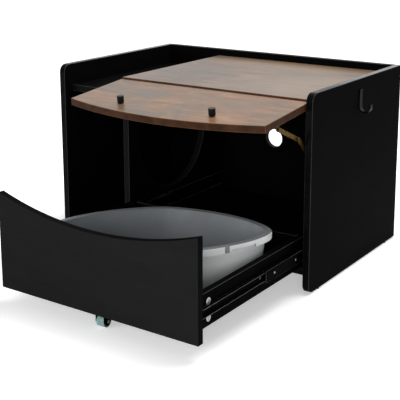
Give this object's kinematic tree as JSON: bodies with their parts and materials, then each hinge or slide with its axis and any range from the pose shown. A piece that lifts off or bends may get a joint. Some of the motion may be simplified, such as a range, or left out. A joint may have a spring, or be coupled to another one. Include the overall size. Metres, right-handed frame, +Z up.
{
  "type": "drawer litter box",
  "caption": "Wooden litter cabinet with an entry bay, a round way in, a pull-out drawer for an oval pan on ball slides, and a lift-up flap held by a stay.",
  "frame": {"origin": "on the floor, in the middle of the cabinet's width and depth, between the glides", "axes": "+X to the right seen from the front, +Y from the front to the back, +Z up"},
  "size_m": [0.749, 0.868, 0.453],
  "materials": {
    "black_board": "black wood-grain laminate, satin",
    "brown_board": "rustic brown wood-grain laminate, satin",
    "dark_steel": "black coated sheet steel",
    "zinc": "zinc plated",
    "bright_steel": "bright steel",
    "brass": "yellow zinc plated",
    "knob_paint": "black satin",
    "pan_plastic": "light grey moulded plastic",
    "clip_plastic": "mid grey moulded plastic",
    "wheel_plastic": "black moulded plastic",
    "tread_rubber": "grey-green soft tread",
    "beech": "plain beech"
  },
  "bodies": {
    "cabinet": {"left_side_panel": "black_board", "right_side_panel": "black_board", "back_panel": "black_board", "partition_panel": "black_board", "bottom_panel": "black_board", "top_panel": "brown_board", "tray_shelf": "black_board", "panel_cams": "zinc", "panel_cam_bolts": "bright_steel", "partition_dowels": "beech", "partition_screws": "zinc", "back_screws": "zinc", "glides": "wheel_plastic", "towel_hook": "dark_steel", "hook_screws": "dark_steel", "slide_outer_left": "dark_steel", "slide_outer_right": "dark_steel", "slide_outer_screws": "zinc", "hinge_arms": "bright_steel", "hinge_plates": "zinc", "plate_screws": "zinc", "stay_post": "zinc"},
    "drawer": {"drawer_front": "black_board", "drawer_left_side": "black_board", "drawer_right_side": "black_board", "drawer_back": "black_board", "drawer_base": "black_board", "drawer_cams": "zinc", "drawer_cam_bolts": "bright_steel", "drawer_back_screws": "dark_steel", "slide_inner_left": "dark_steel", "slide_inner_right": "dark_steel", "slide_inner_screws": "zinc", "castor_bracket": "dark_steel", "castor_axle": "zinc", "castor_screws": "zinc"},
    "castor": {"castor_wheel": "wheel_plastic", "castor_tread": "tread_rubber"},
    "litter_pan": {"pan_tray": "pan_plastic", "pan_rim": "pan_plastic", "pan_clips": "clip_plastic"},
    "left_middle_runner": {"slide_middle_left": "dark_steel"},
    "right_middle_runner": {"slide_middle_right": "dark_steel"},
    "left_outer_race": {"outer_ball_race_left": "bright_steel"},
    "right_outer_race": {"outer_ball_race_right": "bright_steel"},
    "left_inner_race": {"inner_ball_race_left": "bright_steel"},
    "right_inner_race": {"inner_ball_race_right": "bright_steel"},
    "flap": {"flap_panel": "brown_board", "flap_knobs": "knob_paint", "knob_screws": "zinc", "hinge_cups": "zinc", "hinge_pins": "bright_steel", "flap_screws": "zinc", "stay_bracket": "brass", "stay_upper_rivet": "brass"},
    "upper_link": {"stay_upper_link": "brass", "stay_upper_button": "brass"},
    "lower_link": {"stay_lower_link": "brass", "stay_elbow_rivet": "brass"}
  },
  "joints": [
    {"name": "drawer_slide", "type": "slide", "parent": "cabinet", "child": "drawer", "axis": [0, 1, 0], "range_m": [0, 0.402]},
    {"name": "left_middle_runner_slide", "type": "slide", "parent": "cabinet", "child": "left_middle_runner", "axis": [0, 1, 0], "range_m": [0, 0.2011]},
    {"name": "left_outer_race_slide", "type": "slide", "parent": "cabinet", "child": "left_outer_race", "axis": [0, 1, 0], "range_m": [0, 0.1006]},
    {"name": "left_inner_race_slide", "type": "slide", "parent": "cabinet", "child": "left_inner_race", "axis": [0, 1, 0], "range_m": [0, 0.3016]},
    {"name": "right_middle_runner_slide", "type": "slide", "parent": "cabinet", "child": "right_middle_runner", "axis": [0, 1, 0], "range_m": [0, 0.2011]},
    {"name": "right_outer_race_slide", "type": "slide", "parent": "cabinet", "child": "right_outer_race", "axis": [0, 1, 0], "range_m": [0, 0.1006]},
    {"name": "right_inner_race_slide", "type": "slide", "parent": "cabinet", "child": "right_inner_race", "axis": [0, 1, 0], "range_m": [0, 0.3016]},
    {"name": "castor_roll", "type": "hinge", "parent": "drawer", "child": "castor", "pos_m": [0.087, -0.6057, 0.0125], "axis": [1, 0, 0], "continuous": true},
    {"name": "pan_lift", "type": "slide", "parent": "drawer", "child": "litter_pan", "axis": [0, 0, 1], "range_m": [0, 0.15]},
    {"name": "flap_hinge", "type": "hinge", "parent": "cabinet", "child": "flap", "pos_m": [0.0835, -0.2255, 0.4238], "axis": [1, 0, 0], "range_deg": [0, 84.4]},
    {"name": "stay_upper_pivot", "type": "hinge", "parent": "flap", "child": "upper_link", "pos_m": [0.3374, -0.3374, 0.39374], "axis": [1, 0, 0], "range_deg": [0, 13.25]},
    {"name": "stay_lower_pivot", "type": "hinge", "parent": "cabinet", "child": "lower_link", "pos_m": [0.3405, -0.173, 0.273], "axis": [1, 0, 0], "range_deg": [-41.04, 0]}
  ],
  "couplings": [
    {"joint": "left_middle_runner_slide", "follows": "drawer_slide", "ratio": 0.5},
    {"joint": "left_outer_race_slide", "follows": "drawer_slide", "ratio": 0.25},
    {"joint": "left_inner_race_slide", "follows": "drawer_slide", "ratio": 0.75},
    {"joint": "right_middle_runner_slide", "follows": "drawer_slide", "ratio": 0.5},
    {"joint": "right_outer_race_slide", "follows": "drawer_slide", "ratio": 0.25},
    {"joint": "right_inner_race_slide", "follows": "drawer_slide", "ratio": 0.75},
    {"joint": "stay_upper_pivot", "follows": "flap_hinge", "ratio": 0.1558},
    {"joint": "stay_lower_pivot", "follows": "flap_hinge", "ratio": -0.4851}
  ]
}
